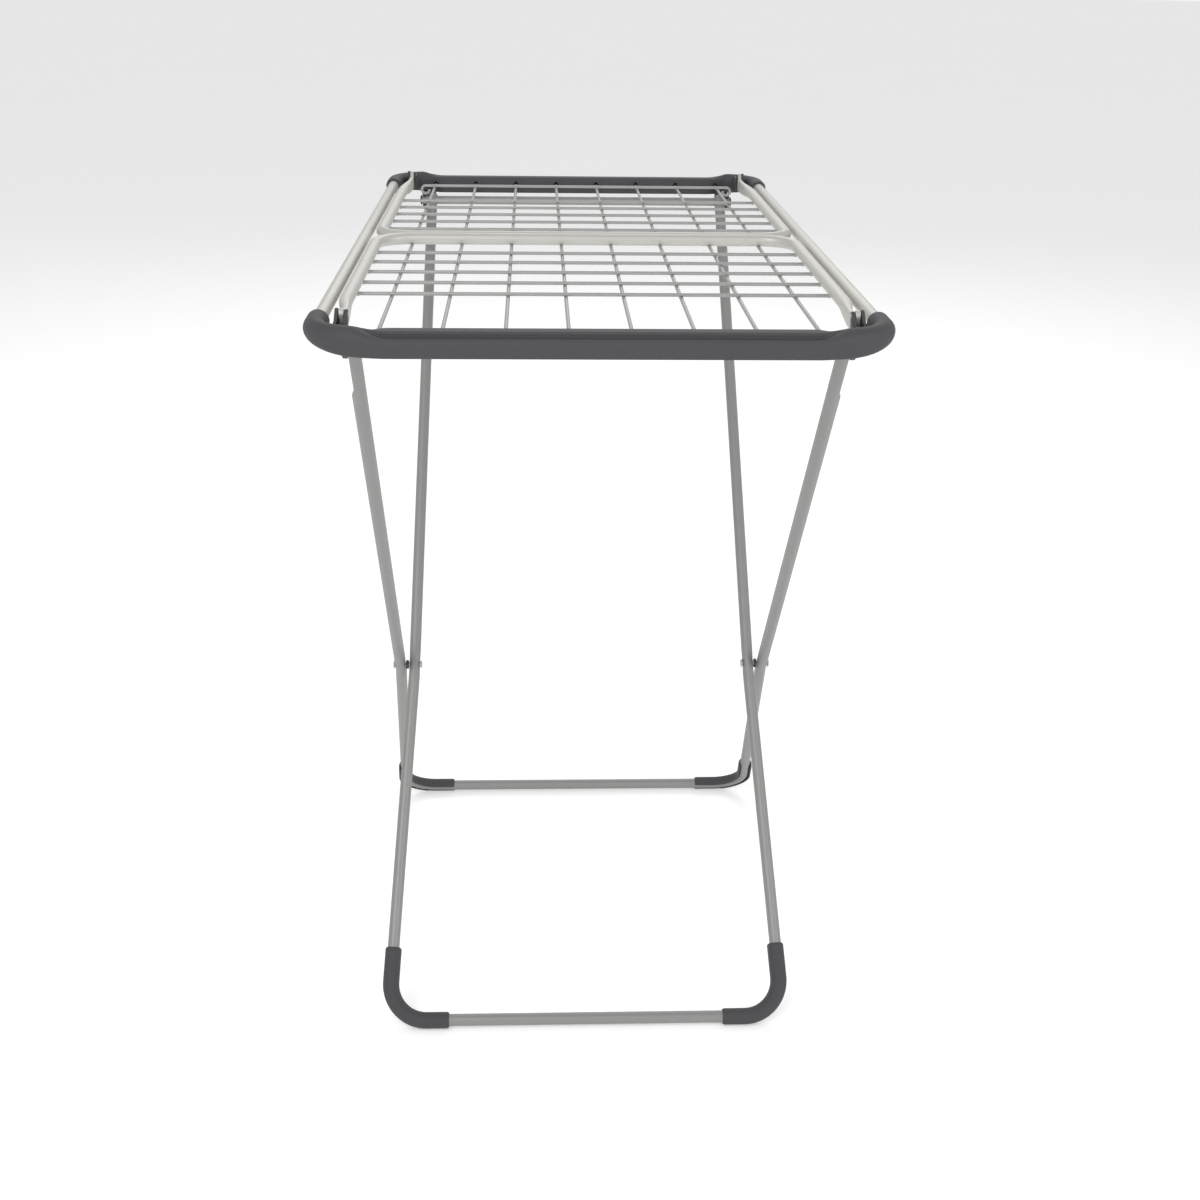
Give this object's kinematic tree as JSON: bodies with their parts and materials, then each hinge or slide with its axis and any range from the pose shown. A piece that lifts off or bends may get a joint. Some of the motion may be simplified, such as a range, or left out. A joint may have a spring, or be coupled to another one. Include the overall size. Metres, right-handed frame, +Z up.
{
  "type": "clothes drying rack",
  "caption": "Winged clothes drying rack: wire table between moulded ends, fold-over wings, crossed tube legs with clip feet.",
  "frame": {"origin": "on the floor under the middle of the table", "axes": "+X across the rack to the right, +Y along the rack from the near end to the far end, +Z up"},
  "size_m": [0.559, 1.06, 0.9477],
  "materials": {
    "charcoal_plastic": "satin moulded",
    "rail_paint": "satin silver-grey powder coat",
    "wire_coat": "satin grey coat",
    "leg_paint": "semi-gloss metallic grey paint",
    "rivet_steel": "plated"
  },
  "bodies": {
    "table": {"near_end_moulding": "charcoal_plastic", "far_end_moulding": "charcoal_plastic", "left_side_tube": "rail_paint", "right_side_tube": "rail_paint", "long_wires": "wire_coat", "far_cross_wire": "wire_coat", "near_left_wing_pin": "rivet_steel", "near_right_wing_pin": "rivet_steel", "far_left_wing_pin": "rivet_steel", "far_right_wing_pin": "rivet_steel", "left_leg_hinge_pin": "rivet_steel", "right_leg_hinge_pin": "rivet_steel"},
    "near_wing": {"near_wing_frame": "rail_paint", "near_wing_wires": "wire_coat"},
    "far_wing": {"far_wing_frame": "rail_paint", "far_wing_wires": "wire_coat"},
    "outer_legs": {"outer_leg_tube": "leg_paint", "left_pivot_rivet": "rivet_steel", "right_pivot_rivet": "rivet_steel", "left_pivot_spacer": "charcoal_plastic", "right_pivot_spacer": "charcoal_plastic", "far_left_foot_clip": "charcoal_plastic", "far_right_foot_clip": "charcoal_plastic"},
    "inner_legs": {"inner_leg_tube": "leg_paint", "inner_leg_top_bar": "leg_paint", "left_bar_cap": "charcoal_plastic", "right_bar_cap": "charcoal_plastic", "near_left_foot_clip": "charcoal_plastic", "near_right_foot_clip": "charcoal_plastic"}
  },
  "joints": [
    {"name": "near_wing_fold", "type": "hinge", "parent": "table", "child": "near_wing", "pos_m": [0, -0.472, 0.9422], "axis": [1, 0, 0], "range_deg": [0, 180]},
    {"name": "far_wing_fold", "type": "hinge", "parent": "table", "child": "far_wing", "pos_m": [0, 0.472, 0.9422], "axis": [-1, 0, 0], "range_deg": [0, 180]},
    {"name": "legs_fold", "type": "hinge", "parent": "table", "child": "outer_legs", "pos_m": [0, -0.46541, 0.907], "axis": [-1, 0, 0], "range_deg": [0, 38.5]},
    {"name": "legs_cross", "type": "hinge", "parent": "outer_legs", "child": "inner_legs", "pos_m": [0, 0, 0.363], "axis": [1, 0, 0], "range_deg": [0, 77.1]}
  ],
  "couplings": [
    {"joint": "legs_cross", "follows": "legs_fold", "ratio": 2}
  ]
}
